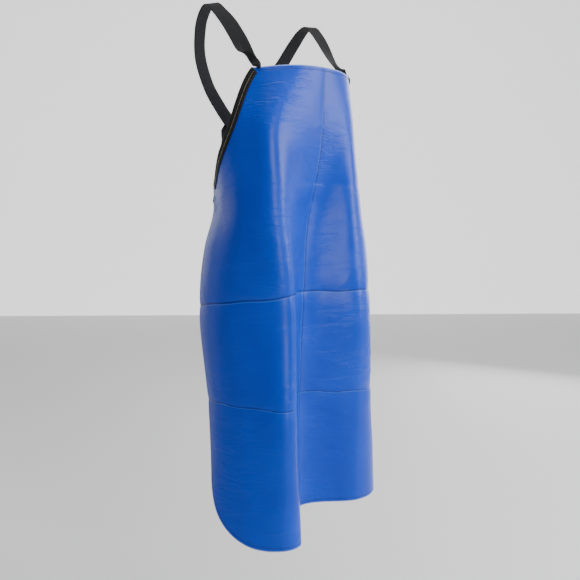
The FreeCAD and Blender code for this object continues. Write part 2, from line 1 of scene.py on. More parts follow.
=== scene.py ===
import bmesh
import bpy
import math
import numpy as np
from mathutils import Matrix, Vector


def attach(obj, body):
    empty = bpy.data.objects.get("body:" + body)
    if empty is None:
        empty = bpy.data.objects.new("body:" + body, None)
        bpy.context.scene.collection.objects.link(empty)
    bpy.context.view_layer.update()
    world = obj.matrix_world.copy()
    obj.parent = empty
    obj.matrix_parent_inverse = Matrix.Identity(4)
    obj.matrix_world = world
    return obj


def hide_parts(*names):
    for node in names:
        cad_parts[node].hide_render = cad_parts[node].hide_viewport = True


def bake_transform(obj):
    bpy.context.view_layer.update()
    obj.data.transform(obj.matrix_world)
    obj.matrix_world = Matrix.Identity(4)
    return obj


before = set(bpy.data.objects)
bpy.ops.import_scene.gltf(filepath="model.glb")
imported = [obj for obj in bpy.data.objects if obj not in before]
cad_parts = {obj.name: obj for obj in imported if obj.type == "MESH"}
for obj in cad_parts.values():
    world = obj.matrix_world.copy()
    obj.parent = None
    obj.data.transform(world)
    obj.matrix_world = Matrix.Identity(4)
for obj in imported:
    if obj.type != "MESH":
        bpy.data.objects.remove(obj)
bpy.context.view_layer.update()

rng = np.random.default_rng(7)
MM = 0.001

# ------------------------------------------------------------------ the sheet's pattern and hang, in mm
LENGTH, WIDTH, BIB, DROP, CORNER = 900.0, 680.0, 300.0, 215.0, 120.0
BIB_TOP_Z, TRUNK_Y = -123.0, -15.0
# each level: its share of the way down, then nine places (x, y) round the wearer from right to left
LEVELS = [
    (0.00, [(-176, -20), (-158, -62), (-128, -97), (-72, -136), (0, -148),
           (72, -136), (128, -97), (156, -62), (174, -20)]),
    (0.49, [(-168, 0), (-176, -50), (-163, -99), (-124, -146), (0, -143),
           (80, -146), (138, -99), (160, -50), (166, 0)]),
    (1.00, [(-140, 12), (-172, -55), (-172, -115), (-128, -160), (0, -124),
           (84, -150), (150, -109), (188, -46), (150, 12)]),
    (1.07, [(-140, 18), (-172, -50), (-178, -115), (-132, -166), (-4, -116),
           (84, -152), (152, -112), (190, -44), (150, 20)]),
    (1.17, [(-160, 26), (-186, -40), (-183, -112), (-132, -173), (-12, -113),
           (86, -158), (158, -120), (196, -45), (166, 28)]),
    (1.34, [(-172, 34), (-197, -35), (-186, -112), (-124, -178), (-20, -114),
           (90, -168), (166, -125), (202, -40), (185, 40)]),
    (1.65, [(-180, 4), (-204, -66), (-190, -135), (-134, -194), (-22, -104),
           (92, -165), (166, -135), (205, -50), (190, 30)]),
    (2.00, [(-215, -20), (-230, -95), (-198, -166), (-131, -203), (-14, -94),
           (90, -162), (164, -150), (212, -70), (200, 10)]),
]
LEVEL_T = [share * DROP if share <= 1 else DROP + (share - 1) * (LENGTH - DROP) for share, _ in LEVELS]
T_STEP, S_STEP, S_REACH = 2.0, 1.0, 430.0


def hermite(a, b, ma, mb, f):
    """The smooth step from a to b with slopes ma and mb, at share f of the way."""
    return (a * (2 * f**3 - 3 * f**2 + 1) + ma * (f**3 - 2 * f**2 + f)
            + b * (3 * f**2 - 2 * f**3) + mb * (f**3 - f**2))


def along(xs, ys, x):
    """The value at x of a smooth curve through (xs, ys) that doesn't overshoot."""
    xs, ys = np.asarray(xs, float), np.asarray(ys, float)
    gaps = np.diff(xs)
    slopes = np.diff(ys) / gaps
    inner = (slopes[:-1] * gaps[1:] + slopes[1:] * gaps[:-1]) / (gaps[1:] + gaps[:-1])
    ends = np.concatenate([[slopes[0]], inner, [slopes[-1]]])
    i = np.clip(np.searchsorted(xs, x, side="left") - 1, 0, len(gaps) - 1)
    f = (x - xs[i]) / gaps[i]
    return hermite(ys[i], ys[i + 1], ends[i] * gaps[i], ends[i + 1] * gaps[i], f)


def spline(points, steps):
    """Points on the smooth curve through the points, steps to a span."""
    p = np.asarray(points, float)
    ext = np.vstack([2 * p[0] - p[1], p, 2 * p[-1] - p[-2]])
    f = (np.arange(steps) / steps)[:, None]
    out = [hermite(ext[i + 1], ext[i + 2], (ext[i + 2] - ext[i]) / 2, (ext[i + 3] - ext[i + 1]) / 2, f)
           for i in range(len(p) - 1)]
    return np.vstack(out + [p[-1:]])


def hang_tables():
    """Where the sheet's middle layer hangs, on a grid of (t, s), and where its front ridge runs."""
    ts = np.arange(-20.0, LENGTH + 20.1, T_STEP)
    ss = np.arange(-S_REACH, S_REACH + 0.1, S_STEP)
    steps = 96
    table = np.zeros((len(ts), len(ss), 2))
    ridge = np.zeros(len(ts))
    for k, t in enumerate(ts):
        knots = [[along(LEVEL_T, [pts[j][c] for _, pts in LEVELS], t) for c in (0, 1)] for j in range(9)]
        line = spline(knots, steps)
        run = np.concatenate([[0], np.cumsum(np.linalg.norm(np.diff(line, axis=0), axis=1))])
        ridge[k] = run[3 * steps] - run[4 * steps]
        run = run - run[4 * steps]
        head = line[0] + (line[0] - line[1]) / (run[1] - run[0]) * 200
        tail = line[-1] + (line[-1] - line[-2]) / (run[-1] - run[-2]) * 200
        line = np.vstack([head, line, tail])
        run = np.concatenate([[run[0] - 200], run, [run[-1] + 200]])
        table[k, :, 0] = np.interp(ss, run, line[:, 0])
        table[k, :, 1] = np.interp(ss, run, line[:, 1])
    return ts, ss, table, ridge


TS, SS, TABLE, RIDGE = hang_tables()


def cubic(f):
    """The four weights that a smooth lookup gives to a place's neighbours."""
    return np.stack([-f**3 / 2 + f**2 - f / 2, 1.5 * f**3 - 2.5 * f**2 + 1,
                     -1.5 * f**3 + 2 * f**2 + f / 2, f**3 / 2 - f**2 / 2])


def middle(s, t):
    """Where the smooth sheet's middle layer hangs: s mm across from its middle, t mm down from the top."""
    s, t = np.broadcast_arrays(np.asarray(s, float), np.asarray(t, float))
    a = np.clip((t - TS[0]) / T_STEP, 1, len(TS) - 2.001)
    b = np.clip((s - SS[0]) / S_STEP, 1, len(SS) - 2.001)
    i, j = a.astype(int), b.astype(int)
    wa, wb = cubic(a - i), cubic(b - j)
    xy = np.zeros(s.shape + (2,))
    for m in range(4):
        for n in range(4):
            row, col = np.clip(i + m - 1, 0, len(TS) - 1), np.clip(j + n - 1, 0, len(SS) - 1)
            xy += (wa[m] * wb[n])[..., None] * TABLE[row, col]
    z = BIB_TOP_Z - 0.99 * np.minimum(t, DROP) - 0.951 * np.maximum(t - DROP, 0.0)
    z = z + 10.0 * np.maximum(0.0, 1 - t / 250.0) * (np.cos(np.pi * s / BIB) - 0.4)
    low = np.maximum(0.0, (t - DROP) / (LENGTH - DROP))
    z = z + 6.0 * low**3 * 0.5 * (1 + np.tanh(s / 60.0))
    return np.stack([xy[..., 0], xy[..., 1] + TRUNK_Y, z], -1)


def half_width(t):
    """Half the pattern's width, t mm down: the armhole's curve, the straight side, the round corner."""
    t = np.asarray(t, float)
    f = np.maximum(t, 0) / DROP
    armhole = BIB / 2 + (WIDTH - BIB) / 2 * (0.62 * f**0.8 + 0.38 * f**4)
    near = np.maximum(16.0 - np.abs(armhole - WIDTH / 2), 0) / 16.0
    width = np.minimum(armhole, WIDTH / 2) - near * near * 4.0
    past = np.maximum(t - (LENGTH - CORNER), 0)
    return width - (CORNER - np.sqrt(np.maximum(CORNER**2 - past**2, 0)))


def fold(d, depth, reach):
    """The profile of a crease at distance d: a sharp line with sides that ease out."""
    return depth * np.exp(-np.abs(d) / reach)


CRINKLES = []
for _ in range(150):
    zone = rng.random()
    if zone < 0.5:  # beside the packing folds
        t0 = rng.choice([208.0, 430.0, 645.0]) + rng.normal(0, 26)
        s0 = rng.uniform(-330, 330)
    elif zone < 0.8:  # the lower part of the wearer's left
        t0, s0 = rng.uniform(560, 860), rng.uniform(20, 300)
    else:
        t0, s0 = rng.uniform(30, 880), rng.uniform(-330, 330)
    CRINKLES.append((s0, t0, rng.normal(0.0, 0.45), rng.uniform(16, 52), rng.uniform(2.5, 6.0),
                     rng.uniform(0.22, 0.75) * rng.choice([-1, 1])))
WAVES = [(rng.uniform(0.008, 0.03), rng.uniform(0, 6.28), rng.uniform(0, 6.28), rng.uniform(0.15, 0.4))
         for _ in range(9)]


def packing_folds(s):
    """How far down the three folds across the sheet run, at s."""
    wander = 1.5 * np.sin(s / 31.0) + 1.0 * np.sin(s / 13.0 + 2)
    one = np.interp(s, [-340, -250, -150, 0, 200, 340], [222, 220, 203, 208, 215, 218]) + wander * 0.6
    two = np.interp(s, [-340, -120, 0, 250, 340], [448, 418, 427, 435, 438]) + wander * 0.7
    three = np.interp(s, [-340, -150, 0, 250, 340], [630, 633, 640, 660, 664]) + wander
    return one, two, three


def middle_fold(s, t):
    """Distance across the sheet from the fold down its middle."""
    return s + 1.2 * np.sin(t / 37.0)


def relief(s, t):
    """How far the sheet stands off its hanging shape: packing folds, crinkles and slack."""
    s, t = np.broadcast_arrays(np.asarray(s, float), np.asarray(t, float))
    h = np.zeros(s.shape)
    one, two, three = packing_folds(s)
    h -= fold(t - one, 1.1, 9.0) * (0.65 + 0.35 * np.sin(s / 70.0 + 1.0))
    h -= fold(t - two, 2.3, 11.0)
    h -= fold(t - three, 1.7, 10.0)
    fading = np.interp(t, [0, 60, 600, 760, 900], [0.8, 1.0, 1.0, 0.4, 0.2])
    h -= fold(middle_fold(s, t), 1.9, 10.0) * fading
    ridge = np.interp(t, TS, RIDGE)
    growing = np.interp(t, [60, 200, 420, 900], [0.0, 0.5, 0.9, 1.0])
    h += fold(s - ridge - 2 * np.sin(t / 43.0), 2.2, 16.0) * growing
    for s0, t0, angle, long, wide, size in CRINKLES:
        ds, dt = s - s0, t - t0
        a = ds * math.cos(angle) + dt * math.sin(angle)
        b = -ds * math.sin(angle) + dt * math.cos(angle) + 0.004 * a * a
        h += size * np.exp(-np.abs(b) / wide) * np.exp(-(a / long)**2)
    for k, p, q, size in WAVES:
        h += size * np.sin(k * t + p) * np.sin(k * 1.3 * s + q)
    return h


def normal(s, t):
    """The direction off the sheet's outer face."""
    e = 1.5
    n = np.cross(middle(s, t + e) - middle(s, t - e), middle(s + e, t) - middle(s - e, t))
    return n / np.linalg.norm(n, axis=-1, keepdims=True)


def on_sheet(s, t, n=0.0):
    """The place n mm off the hanging sheet's middle layer, in mm."""
    return middle(s, t) + normal(s, t) * (relief(s, t) + n)[..., None]


# ------------------------------------------------------------------ mesh helpers
def new_mesh(name, verts, faces, uvs, attributes=None):
    """An object from vertices in mm, with a flat place in mm for each vertex in uvs."""
    mesh = bpy.data.meshes.new(name)
    mesh.from_pydata([tuple(v) for v in np.asarray(verts, float) * MM], [], faces)
    layer = mesh.uv_layers.new(name="Flat")
    loops = np.zeros(len(mesh.loops), int)
    mesh.loops.foreach_get("vertex_index", loops)
    layer.data.foreach_set("uv", (np.asarray(uvs, float)[loops] * MM).astype(np.float32).ravel())
    for key, values in (attributes or {}).items():
        data = mesh.attributes.new(key, "FLOAT", "POINT").data
        data.foreach_set("value", np.asarray(values, np.float32))
    mesh.polygons.foreach_set("use_smooth", [True] * len(mesh.polygons))
    mesh.update()
    obj = bpy.data.objects.new(name, mesh)
    bpy.context.scene.collection.objects.link(obj)
    return obj


def closed_mesh(name, verts, faces, uvs):
    """A closed mesh whose faces all look outwards."""
    obj = new_mesh(name, verts, faces, uvs)
    bm = bmesh.new()
    bm.from_mesh(obj.data)
    bmesh.ops.recalc_face_normals(bm, faces=bm.faces)
    bm.to_mesh(obj.data)
    bm.free()
    obj.data.update()
    return obj


def ring_faces(rings, k):
    """The faces between one ring of k points and the next."""
    return [[i * k + j, i * k + (j + 1) % k, (i + 1) * k + (j + 1) % k, (i + 1) * k + j]
            for i in range(rings - 1) for j in range(k)]


def lengths_along(points):
    """How far along the line each of its points lies."""
    return np.concatenate([[0], np.cumsum(np.linalg.norm(np.diff(points, axis=0), axis=1))])


def grid_faces(rows, cols, base=0, flip=False):
    """The faces of a grid of points, row by row."""
    r, c = np.meshgrid(np.arange(rows - 1), np.arange(cols - 1), indexing="ij")
    a = base + r * cols + c
    quads = np.stack([a, a + 1, a + cols + 1, a + cols], -1).reshape(-1, 4)
    return (quads[:, ::-1] if flip else quads).tolist()


def paint(obj, material, body="apron"):
    """Give the piece its material and slot, and the body it rides on."""
    obj.data.materials.clear()
    obj.data.materials.append(material)
    if body:
        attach(obj, body)
    return obj


# ------------------------------------------------------------------ materials
class Nodes:
    def __init__(self, name):
        self.mat = bpy.data.materials.new(name)
        self.mat.use_nodes = True
        self.tree = self.mat.node_tree
        self.bsdf = self.tree.nodes["Principled BSDF"]

    def add(self, kind, inputs=None, **settings):
        node = self.tree.nodes.new(kind)
        for key, value in settings.items():
            setattr(node, key, value)
        for key, value in (inputs or {}).items():
            if isinstance(value, bpy.types.NodeSocket):
                self.tree.links.new(value, node.inputs[key])
            else:
                node.inputs[key].default_value = value
        return node

    def math(self, op, a, b=0.0, c=0.0):
        return self.add("ShaderNodeMath", {0: a, 1: b, 2: c}, operation=op).outputs[0]

    def mix(self, factor, a, b):
        node = self.add("ShaderNodeMix", data_type="RGBA")
        for socket, value in ((node.inputs[0], factor), (node.inputs[6], a), (node.inputs[7], b)):
            if isinstance(value, bpy.types.NodeSocket):
                self.tree.links.new(value, socket)
            else:
                socket.default_value = value
        return node.outputs[2]

    def spread(self, value, low, high, to_low, to_high):
        return self.add("ShaderNodeMapRange", {0: value, 1: low, 2: high, 3: to_low, 4: to_high}).outputs[0]

    def noise(self, vector, scale, detail, roughness=0.5):
        inputs = {"Vector": vector, "Scale": scale, "Detail": detail, "Roughness": roughness}
        return self.add("ShaderNodeTexNoise", inputs).outputs["Fac"]

    def stripe(self, value, centre, core, reach):
        """1 within core of the centre, fading to 0 at reach."""
        away = self.math("ABSOLUTE", self.math("SUBTRACT", value, centre))
        return self.spread(away, core, reach, 1.0, 0.0)

    def bump(self, height, strength):
        inputs = {"Height": height, "Strength": strength, "Distance": 1.0}
        return self.add("ShaderNodeBump", inputs).outputs[0]

    def set(self, **values):
        names = {"color": "Base Color", "rough": "Roughness", "spec": "Specular IOR Level",
                 "sheen": "Sheen Weight", "sheen_rough": "Sheen Roughness", "normal": "Normal"}
        for key, value in values.items():
            socket = self.bsdf.inputs[names[key]]
            if isinstance(value, bpy.types.NodeSocket):
                self.tree.links.new(value, socket)
            else:
                socket.default_value = value


def film_material():
    """Glossy blue film with painted shade and painted highlight lines along its folds and hems, and fine
    stretched wrinkles.
    """
    m = Nodes("BlueFilm")
    uv = m.add("ShaderNodeUVMap", uv_map="Flat").outputs[0]
    edge, crease, spine = [m.add("ShaderNodeAttribute", attribute_name=name).outputs["Fac"]
                           for name in ("edge", "crease", "spine")]
    cloud = m.noise(uv, 9.0, 3.0)
    base = m.mix(m.spread(cloud, 0.3, 0.7, 0.0, 1.0), (0.0002, 0.040, 0.43, 1), (0.0003, 0.052, 0.52, 1))
    # painted light: shadow and hem_shadow are painted shade in the folds' grooves and in the hem's stitched
    # groove; shine is a painted highlight beside the folds
    hem = m.stripe(edge, 7.0, 0.0, 1.3)
    shadow, shine, hem_shadow = (0.001, 0.014, 0.15, 1), (0.10, 0.30, 0.75, 1), (0.001, 0.012, 0.13, 1)
    for line, strength, colour in (
            (m.stripe(crease, -1.0, 0.5, 2.4), 0.85, shadow),
            (m.stripe(spine, 0.0, 0.7, 2.3), 0.90, shadow),
            (m.stripe(crease, 1.9, 0.0, 1.6), 0.30, shine), (m.stripe(spine, -3.6, 0.2, 2.0), 0.22, shine),
            (hem, 0.75, hem_shadow)):
        base = m.mix(m.math("MULTIPLY", line, strength), base, colour)
    # painted highlight: a pale band along the sheet's outer edge, where the hem's rounded fold catches the
    # light
    base = m.mix(m.spread(edge, 0.6, 2.2, 0.75, 0.0), base, (0.36, 0.46, 0.80, 1))

    patchy = m.spread(cloud, 0.42, 0.62, 0.15, 1.0)
    squashed = m.add("ShaderNodeMapping", {"Vector": uv, "Scale": (14.0, 60.0, 1.0)}).outputs[0]
    crinkle = m.math("MULTIPLY", m.noise(squashed, 1.0, 4.0), patchy)
    slanted = {"Vector": uv, "Scale": (7.0, 34.0, 1.0), "Rotation": (0.0, 0.0, 0.12)}
    slanted = m.add("ShaderNodeMapping", slanted).outputs[0]
    wrinkle = m.math("MULTIPLY", m.stripe(m.noise(slanted, 1.0, 5.0, 0.6), 0.5, 0.0, 0.035), patchy)
    height = m.math("MULTIPLY", crinkle, 0.0018)
    height = m.math("MULTIPLY_ADD", wrinkle, 0.00045, height)
    height = m.math("MULTIPLY_ADD", m.noise(uv, 700.0, 2.0), 0.000010, height)
    height = m.math("SUBTRACT", height, m.math("MULTIPLY", hem, 0.00030))
    m.set(color=base, rough=m.spread(cloud, 0.3, 0.7, 0.30, 0.40), spec=0.27, normal=m.bump(height, 0.8))
    return m.mat


def webbing_material():
    """Black webbing: ribs down its length, with the slanted picks of the weave across them."""
    m = Nodes("BlackWebbing")
    uv = m.add("ShaderNodeUVMap", uv_map="Flat").outputs[0]
    xyz = m.add("ShaderNodeSeparateXYZ", {0: uv})
    across, down = xyz.outputs[0], xyz.outputs[1]
    rib = m.math("ABSOLUTE", m.math("SINE", m.math("MULTIPLY", across, 2 * math.pi / RIB_WIDTH)))
    slant = m.math("MULTIPLY", rib, 1.9)
    pick = m.math("SINE", m.math("ADD", m.math("MULTIPLY", down, 2 * math.pi / PICK_LENGTH), slant))
    weave = m.math("MULTIPLY_ADD", rib, 0.6, m.math("MULTIPLY", pick, 0.4))
    dust = m.noise(uv, 150.0, 5.0)
    tone = m.math("MULTIPLY_ADD", weave, 0.5, m.math("MULTIPLY", dust, 0.5))
    base = m.mix(m.spread(tone, 0.1, 0.8, 0.0, 1.0), (0.002, 0.002, 0.003, 1), (0.014, 0.014, 0.016, 1))
    bump = m.bump(m.math("MULTIPLY", weave, 0.00022), 0.8)
    m.set(color=base, rough=0.66, spec=0.22, sheen=0.05, sheen_rough=0.4, normal=bump)
    return m.mat


def plastic_material():
    """Moulded black plastic with a fine grain and patches of handling shine."""
    m = Nodes("BlackPlastic")
    place = m.add("ShaderNodeTexCoord").outputs["Object"]
    patch = m.noise(place, 90.0, 3.0)
    base = m.mix(patch, (0.010, 0.010, 0.011, 1), (0.020, 0.020, 0.022, 1))
    bump = m.bump(m.math("MULTIPLY", m.noise(place, 2600.0, 2.0), 0.00005), 0.6)
    m.set(color=base, rough=m.spread(patch, 0.3, 0.7, 0.32, 0.44), spec=0.5, normal=bump)
    return m.mat


def thread_material(name, light, dark):
    """Twisted sewing thread."""
    m = Nodes(name)
    place = m.add("ShaderNodeTexCoord").outputs["Object"]
    twist = m.noise(place, 1800.0, 2.0)
    base = m.mix(m.spread(twist, 0.35, 0.65, 0.0, 1.0), dark, light)
    m.set(color=base, rough=0.55, sheen=0.2, normal=m.bump(m.math("MULTIPLY", twist, 0.0001), 0.7))
    return m.mat


RIB_WIDTH, PICK_LENGTH = 0.0021, 0.0016
FILM = film_material()
WEB = webbing_material()
PLASTIC = plastic_material()
THREAD = thread_material("TanThread", (0.62, 0.50, 0.33, 1), (0.40, 0.30, 0.18, 1))
BLUE_THREAD = thread_material("BlueThread", (0.03, 0.16, 0.55, 1), (0.01, 0.08, 0.34, 1))


# ------------------------------------------------------------------ the sheet
FAINTER = 0.9
OUTER_FACE, INNER_FACE = 0.35, -0.3


def edge_distance(s, t):
    """Distance in mm from the pattern's outline, apart from the bound armholes."""
    s, t = np.abs(s), np.asarray(t, float)
    side = np.where(t > DROP - 4, half_width(t) - s, 60.0)
    ends = np.minimum(LENGTH - t, 60.0)
    d = np.minimum(np.minimum(side, ends), t + 0.0)
    cs, ct = WIDTH / 2 - CORNER, LENGTH - CORNER
    corner = (s > cs) & (t > ct)
    return np.where(corner, CORNER - np.hypot(s - cs, t - ct), d)


def crease_distance(s, t):
    """Signed distance down the sheet from the nearer of its two lower folds, the lowest drawn fainter."""
    _, two, three = packing_folds(s)
    sharp, soft = t - two, t - three
    soft = np.where(soft < 0, soft - FAINTER, soft + FAINTER)
    return np.where(np.abs(sharp) < np.abs(t - three), sharp, soft)


def spine_distance(s, t):
    """Signed distance from the middle fold, stretched where the fold grows faint."""
    stretch = np.interp(t, [0, 40, 500, 640, 760, 900], [1.5, 1.2, 0.9, 1.6, 4.0, 9.0])
    return middle_fold(s, t) * stretch


def film_sheet(name, s, t, outer, inner):
    """A closed film over the grid of (s, t), between two heights."""
    rows, cols = s.shape
    front = on_sheet(s, t, np.full(s.shape, outer)).reshape(-1, 3)
    back = on_sheet(s, t, np.full(s.shape, inner)).reshape(-1, 3)
    n = rows * cols
    faces = grid_faces(rows, cols, 0, True) + grid_faces(rows, cols, n)
    ring = ([(0, c) for c in range(cols)] + [(r, cols - 1) for r in range(1, rows)]
            + [(rows - 1, c) for c in range(cols - 2, -1, -1)] + [(r, 0) for r in range(rows - 2, 0, -1)])
    ids = [r * cols + c for r, c in ring]
    for a, b in zip(ids, ids[1:] + ids[:1]):
        faces.append([a, b, b + n, a + n])
    flat = np.stack([s.ravel(), t.ravel()], -1)
    edge, crease, spine = [np.tile(measure(s, t).ravel(), 2)
                           for measure in (edge_distance, crease_distance, spine_distance)]
    return new_mesh(name, np.vstack([front, back]), faces, np.vstack([flat, flat]),
                    attributes={"edge": edge, "crease": crease, "spine": spine})


# rows close together at the top hem and round the corners, columns closer towards the sides
corner_rows = LENGTH - CORNER + CORNER * np.sin(np.radians(np.arange(0, 90.1, 2.25)))
rows_t = np.concatenate([np.arange(0, 12, 1.5), np.arange(12, LENGTH - CORNER, 3.0), corner_rows])
even = np.linspace(-1, 1, 261)
columns = 0.68 * even + 0.32 * np.sin(np.pi / 2 * even)
grid_t = np.repeat(rows_t[:, None], len(columns), 1)
grid_s = half_width(rows_t)[:, None] * columns[None, :]
panel = paint(film_sheet("ApronSheet", grid_s, grid_t, OUTER_FACE, INNER_FACE), FILM)
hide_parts("apron_panel")


# ------------------------------------------------------------------ webbing
WEB_WIDTH, WEB_THICK = 30.0, 1.2
STITCH_BOW = 0.2025


def tape(name, centres, outs):
    """Webbing along the centres, with rounded edges. outs point off its outer face."""
    c = np.asarray(centres, float)
    ahead = np.gradient(c, axis=0)
    ahead /= np.linalg.norm(ahead, axis=1, keepdims=True)
    o = np.asarray(outs, float)
    o = o - ahead * np.sum(o * ahead, 1, keepdims=True)
    o /= np.linalg.norm(o, axis=1, keepdims=True)
    side = np.cross(ahead, o)
    run = lengths_along(c)
    count = 9
    u = np.linspace(-1, 1, count)
    profile_u = np.concatenate([u, u[::-1]])
    edge = np.clip((1 - np.abs(profile_u)) * 7.0, 0, 1)
    lift = WEB_THICK / 2 * np.sqrt(1 - (1 - edge)**2 * 0.85)
    lift[count:] *= -1
    verts, uvs = [], []
    for i in range(len(c)):
        for pu, pl in zip(profile_u, lift):
            verts.append(c[i] + side[i] * pu * WEB_WIDTH / 2 + o[i] * pl)
            uvs.append((pu * WEB_WIDTH / 2, run[i]))
    k = 2 * count
    caps = [list(range(k)), list(range((len(c) - 1) * k, len(c) * k))]
    return closed_mesh(name, verts, ring_faces(len(c), k) + caps, uvs)


def stitches(name, line, normals, step=3.6, long=2.7, wide=0.55):
    """A row of thread stitches along the line, each a small bowed bead lying on the surface."""
    p = np.asarray(line, float)
    n = np.asarray(normals, float)
    run = lengths_along(p)
    verts, faces, uvs = [], [], []
    for d in np.arange(step / 2, run[-1] - long, step):
        at = [np.array([np.interp(q, run, p[:, k]) for k in range(3)]) for q in (d, d + long)]
        up = np.array([np.interp(d, run, n[:, k]) for k in range(3)])
        ahead = at[1] - at[0]
        size = np.linalg.norm(ahead)
        ahead /= size
        up = up - ahead * up.dot(ahead)
        up /= np.linalg.norm(up)
        side = np.cross(ahead, up)
        base = len(verts)
        for f, r in ((0.0, 0.25), (0.18, 0.85), (0.5, 1.0), (0.82, 0.85), (1.0, 0.25)):
            mid = at[0] + ahead * size * f + up * STITCH_BOW * (4 * f * (1 - f))
            for a in range(6):
                w = math.radians(60 * a)
                verts.append(mid + side * math.cos(w) * wide / 2 * r + up * math.sin(w) * wide / 2 * r)
                uvs.append((math.cos(w) * wide, d + f * long))
        faces += [[base + v for v in face] for face in ring_faces(5, 6)]
        faces.append([base + a for a in range(5, -1, -1)])
        faces.append([base + 24 + a for a in range(6)])
    return new_mesh(name, verts, faces, uvs)


# places, outward directions and widths along the wearer's left back strap's mirror image, bib to back
STRAP_LINE = [
    ((-125, -84, -100), (-0.64, -0.72, 0.26), 24.0),
    ((-127, -62, -68), (-0.46, -0.70, 0.52), 29.5),
    ((-130, -41, -39), (-0.34, -0.64, 0.68), WEB_WIDTH),
    ((-134, -20, -16), (-0.24, -0.44, 0.86), WEB_WIDTH),
    ((-136, 0, 0), (-0.18, 0.02, 0.98), WEB_WIDTH),
    ((-134, 20, -9), (-0.18, 0.52, 0.84), WEB_WIDTH),
    ((-128, 42, -36), (-0.20, 0.80, 0.58), WEB_WIDTH),
    ((-109, 67, -84), (-0.20, 0.92, 0.34), WEB_WIDTH),
    ((-72, 88, -134), (-0.14, 0.98, 0.12), WEB_WIDTH),
    ((-36, 97, -170), (-0.05, 1.00, 0.04), WEB_WIDTH),
    ((-10, 99, -196), (0.00, 1.00, 0.00), WEB_WIDTH),
    ((12, 99, -221), (0.00, 1.00, 0.00), WEB_WIDTH),
]
# how far each strap's face is turned about its own length at the places above, by the way it lies
STRAP_LEAN = {-1: (0.07, 0.13, 0.20, 0.13, 0.07) + (0.0,) * 7,
              1: (-0.25, -0.42, -0.45, -0.40, -0.28, -0.12) + (0.0,) * 6}
BASE_WIDTH, BASE_INSET = 14.5, 7.0
BACK_Y = 85.0
STRAP_TOP = (27.0, 98.0, -246.0)
CROSS_LIFT, TAB_DEPTH, RUN_MIDDLE, RETURN_LOW = 1.3, 3.2, 3.3, 5.4
BAR_PLACE, SLIDER_PLACE, RUN_END = 71.9, 128.0, 116.0
BAR_TURN = 2.7
SLIDER_RISE, SLIDER_BAR = 2.8, 2.5

# the waist tab: where it is sewn, its slant to the sheet, and the socket's bar that it goes round
TAB_T, TAB_SLANT, TAB_SEWN, TAB_FREE = 238.0, math.radians(36.0), 36.0, 10.0
TAB_UNDER, TAB_OVER = 3.95, 2.45
TAB_BAR, TAB_REACH = 24.0, 2.7

# the armhole binding: its gap to the sheet, leg length, and the seam that holds it
TRIM_GAP, TRIM_LEG, TRIM_END = 0.45, 13.0, 6.0
SEAM_INSET, SEAM_HEIGHT = 6.8, 1.62


def plain(s, t, n):
    """The place n mm off the smooth sheet, without folds and crinkles."""
    return middle(np.float64(s), np.float64(t)) + normal(np.float64(s), np.float64(t)) * n


class Stretch:
    """The straight stretch of back strap that carries a clip and slider, with the CAD's own axes."""

    def __init__(self, side):
        anchor = plain(side * WIDTH / 2, TAB_T, -TAB_DEPTH)
        top = np.array([side * STRAP_TOP[0], STRAP_TOP[1] - side * CROSS_LIFT, STRAP_TOP[2]])
        self.start = anchor
        for _ in range(4):
            self.up = (top - self.start) / np.linalg.norm(top - self.start)
            mid = (top + self.start) / 2
            radial = np.array([mid[0], mid[1] - TRUNK_Y, 0])
            out = radial - self.up * radial.dot(self.up)
            self.out = out / np.linalg.norm(out)
            self.start = anchor - self.out * RUN_MIDDLE
        self.length = np.linalg.norm(top - self.start)
        self.across = np.cross(self.up, self.out)

    def at(self, x, y, z):
        return self.start + self.across * x + self.up * y + self.out * z


def shoulder_strap(side):
    """The strap's line of places, outward directions and widths, from the bib corner to the slider."""
    stretch = Stretch(-side)
    edge = side * (BIB / 2 - BASE_INSET)
    corner = plain(edge, 0.0, 0.0)
    out = normal(np.float64(edge), np.float64(0.0))
    knots = [list(corner + np.array([0, 0, rise])) + list(out) + [BASE_WIDTH] for rise in (0.7, 6.0)]
    for (place, o, width), turn in zip(STRAP_LINE, STRAP_LEAN[side]):
        lift = side * CROSS_LIFT if place[1] > BACK_Y else 0.0
        there = [-side * place[0], place[1] + lift, place[2]]
        knots.append(there + [-side * (o[0] - turn), o[1], o[2], width])
    last = np.array(knots[-1][:3])
    joint = stretch.at(0, stretch.length, WEB_THICK / 2)
    for f in (0.33, 0.66):
        place = last * (1 - f) + joint * f + np.array([0, 1.5 * math.sin(math.pi * f), 0])
        o = np.array([0, 1, 0]) * (1 - f) + stretch.out * f
        knots.append(list(place) + list(o) + [WEB_WIDTH])
    for y in np.linspace(stretch.length - 4, RUN_END, 6):
        knots.append(list(stretch.at(0, y, WEB_THICK / 2)) + list(stretch.out) + [WEB_WIDTH])
    return spline(knots, 8)


def frames(line, side):
    """Places, directions ahead, directions off the face, and directions towards the armhole."""
    c = line[:, :3]
    ahead = np.gradient(c, axis=0)
    ahead /= np.linalg.norm(ahead, axis=1, keepdims=True)
    o = line[:, 3:6] - ahead * np.sum(line[:, 3:6] * ahead, 1, keepdims=True)
    o /= np.linalg.norm(o, axis=1, keepdims=True)
    across = np.cross(ahead, o)
    arm = across * (-1 if across[0][0] * side < 0 else 1)
    return c, ahead, o, arm


